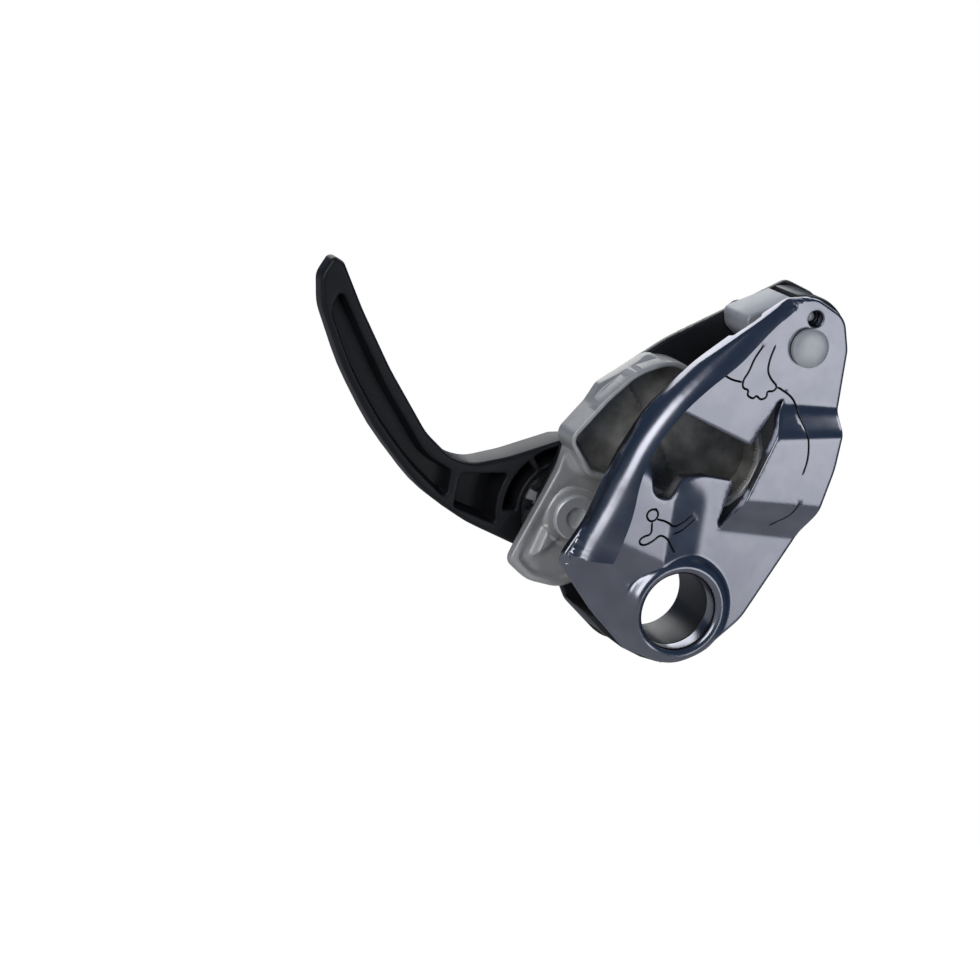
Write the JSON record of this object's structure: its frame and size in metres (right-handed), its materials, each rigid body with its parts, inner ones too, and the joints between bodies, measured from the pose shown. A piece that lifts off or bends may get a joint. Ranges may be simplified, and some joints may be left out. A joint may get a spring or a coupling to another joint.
{
  "type": "belay device",
  "caption": "Assisted-braking belay device: two side plates joined by a rivet, a cupped steel cam and wedge that pinch the rope, and a curved release handle.",
  "frame": {"origin": "middle of the carabiner eye, half way between the two side plates", "axes": "+Z from the carabiner eye to the pivot rivet, +X to the right as the moving side plate is faced, +Y from the moving plate through the fixed plate to the handle"},
  "size_m": [0.122, 0.0371, 0.0905],
  "materials": {
    "anodised_gunmetal": "anodised dark blue-grey, glossy",
    "black_anodised": "black, satin",
    "cast_steel": "cast, satin, warm grey",
    "blasted_steel": "bead-blasted, matt light grey",
    "bright_steel": "turned, satin",
    "spring_steel": "drawn wire",
    "bronze": "plain bearing bronze",
    "black_nylon": "moulded, fine satin texture",
    "dark_nylon": "moulded, smooth dark grey"
  },
  "bodies": {
    "frame": {"fixed_side_plate": "black_anodised", "pivot_rivet": "bright_steel", "pivot_washer": "bronze", "top_spacer": "dark_nylon", "friction_wedge": "blasted_steel", "wedge_rivet_left": "bright_steel", "wedge_rivet_right": "bright_steel", "locating_pin": "bright_steel", "cam_axle": "bright_steel", "axle_washer": "bright_steel", "axle_cap": "bright_steel", "handle_washer": "bronze"},
    "moving_plate": {"moving_side_plate": "anodised_gunmetal"},
    "cam_body": {"cam": "cast_steel", "cam_bush": "bronze", "cam_stop_pin": "bright_steel", "cam_return_spring": "spring_steel"},
    "handle_body": {"handle": "black_nylon", "handle_hub_insert": "bright_steel", "handle_return_spring": "spring_steel"}
  },
  "joints": [
    {"name": "plate_swing", "type": "hinge", "parent": "frame", "child": "moving_plate", "pos_m": [0, 0, 0.065], "axis": [0, -1, 0], "range_deg": [0, 120]},
    {"name": "cam_turn", "type": "hinge", "parent": "frame", "child": "cam_body", "pos_m": [-0.0265, 0, 0.0085], "axis": [0, -1, 0], "range_deg": [0, 16], "stiffness_Nm_per_rad": 0.06, "springref_deg": -28.65, "deforming": ["cam_return_spring"]},
    {"name": "handle_turn", "type": "hinge", "parent": "frame", "child": "handle_body", "pos_m": [-0.0265, 0, 0.0085], "axis": [0, -1, 0], "range_deg": [-90, 86], "stiffness_Nm_per_rad": 0.002, "springref_deg": -90, "deforming": ["handle_return_spring"]}
  ]
}
